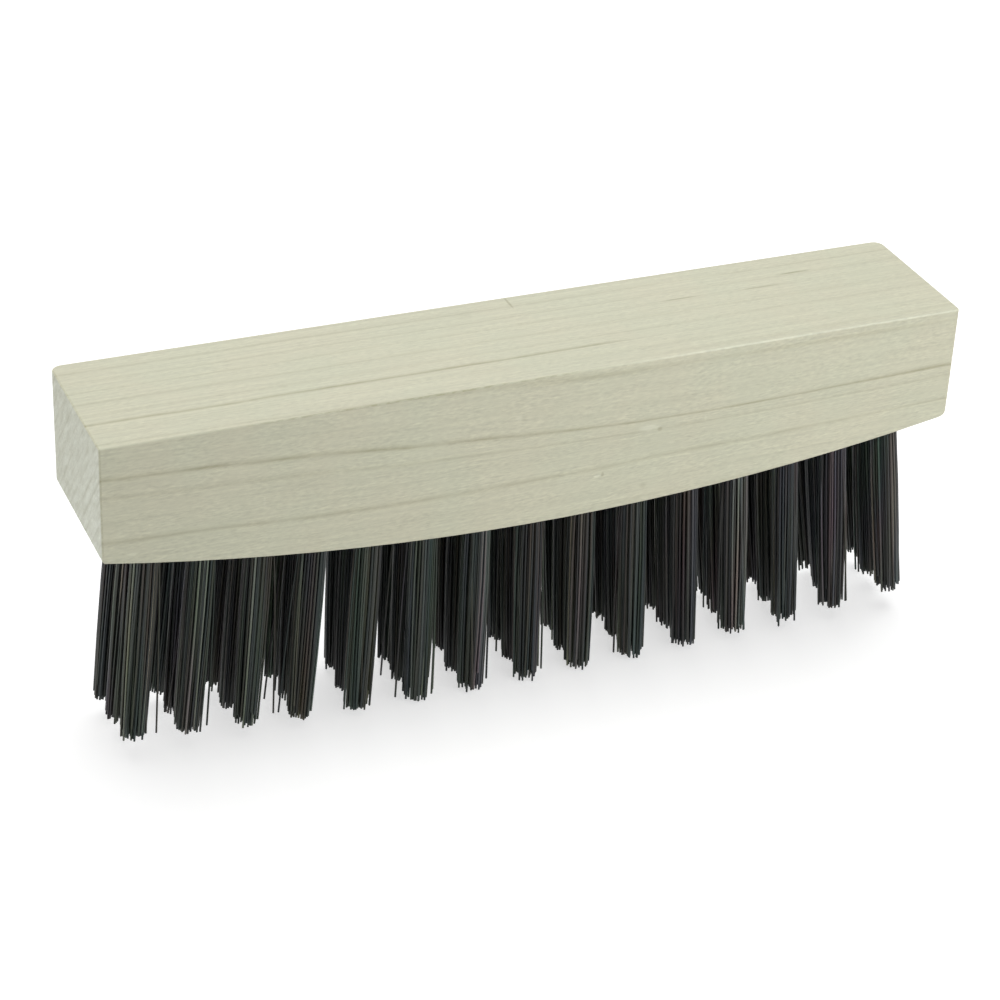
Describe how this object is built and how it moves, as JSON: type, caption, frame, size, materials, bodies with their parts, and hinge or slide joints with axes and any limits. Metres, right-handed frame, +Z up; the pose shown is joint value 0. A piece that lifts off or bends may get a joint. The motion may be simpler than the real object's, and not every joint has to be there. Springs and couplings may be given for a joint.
{
  "type": "wire brush",
  "caption": "Hand wire brush without a handle: a bar of pale wood with a bowed underside that carries rows of straight steel wire tufts, for cleaning rust, slag and scale off metal.",
  "frame": {"origin": "on the surface that the wire tips stand on, under the middle of the block", "axes": "+X along the block towards its more rounded end, +Y across the block from the front row of tufts to the back row, +Z up out of the flat top"},
  "size_m": [0.17, 0.032, 0.0714],
  "materials": {
    "wood": "bare planed wood, not varnished, with fine straight grain along the block",
    "tuft_wire": "dark drawn steel wire, slightly oxidised, with bright lines along the wires",
    "staple_wire": "plain drawn steel wire"
  },
  "bodies": {
    "root": {"block": "wood", "tuft_front_01": "tuft_wire", "tuft_front_02": "tuft_wire", "tuft_front_03": "tuft_wire", "tuft_front_04": "tuft_wire", "tuft_front_05": "tuft_wire", "tuft_front_06": "tuft_wire", "tuft_front_07": "tuft_wire", "tuft_front_08": "tuft_wire", "tuft_front_09": "tuft_wire", "tuft_front_10": "tuft_wire", "tuft_front_11": "tuft_wire", "tuft_front_12": "tuft_wire", "tuft_front_13": "tuft_wire", "tuft_front_14": "tuft_wire", "tuft_front_15": "tuft_wire", "tuft_middle_01": "tuft_wire", "tuft_middle_02": "tuft_wire", "tuft_middle_03": "tuft_wire", "tuft_middle_04": "tuft_wire", "tuft_middle_05": "tuft_wire", "tuft_middle_06": "tuft_wire", "tuft_middle_07": "tuft_wire", "tuft_middle_08": "tuft_wire", "tuft_middle_09": "tuft_wire", "tuft_middle_10": "tuft_wire", "tuft_middle_11": "tuft_wire", "tuft_middle_12": "tuft_wire", "tuft_middle_13": "tuft_wire", "tuft_middle_14": "tuft_wire", "tuft_middle_15": "tuft_wire", "tuft_back_01": "tuft_wire", "tuft_back_02": "tuft_wire", "tuft_back_03": "tuft_wire", "tuft_back_04": "tuft_wire", "tuft_back_05": "tuft_wire", "tuft_back_06": "tuft_wire", "tuft_back_07": "tuft_wire", "tuft_back_08": "tuft_wire", "tuft_back_09": "tuft_wire", "tuft_back_10": "tuft_wire", "tuft_back_11": "tuft_wire", "tuft_back_12": "tuft_wire", "tuft_back_13": "tuft_wire", "tuft_back_14": "tuft_wire", "tuft_back_15": "tuft_wire", "staples_front": "staple_wire", "staples_middle": "staple_wire", "staples_back": "staple_wire"}
  },
  "joints": []
}
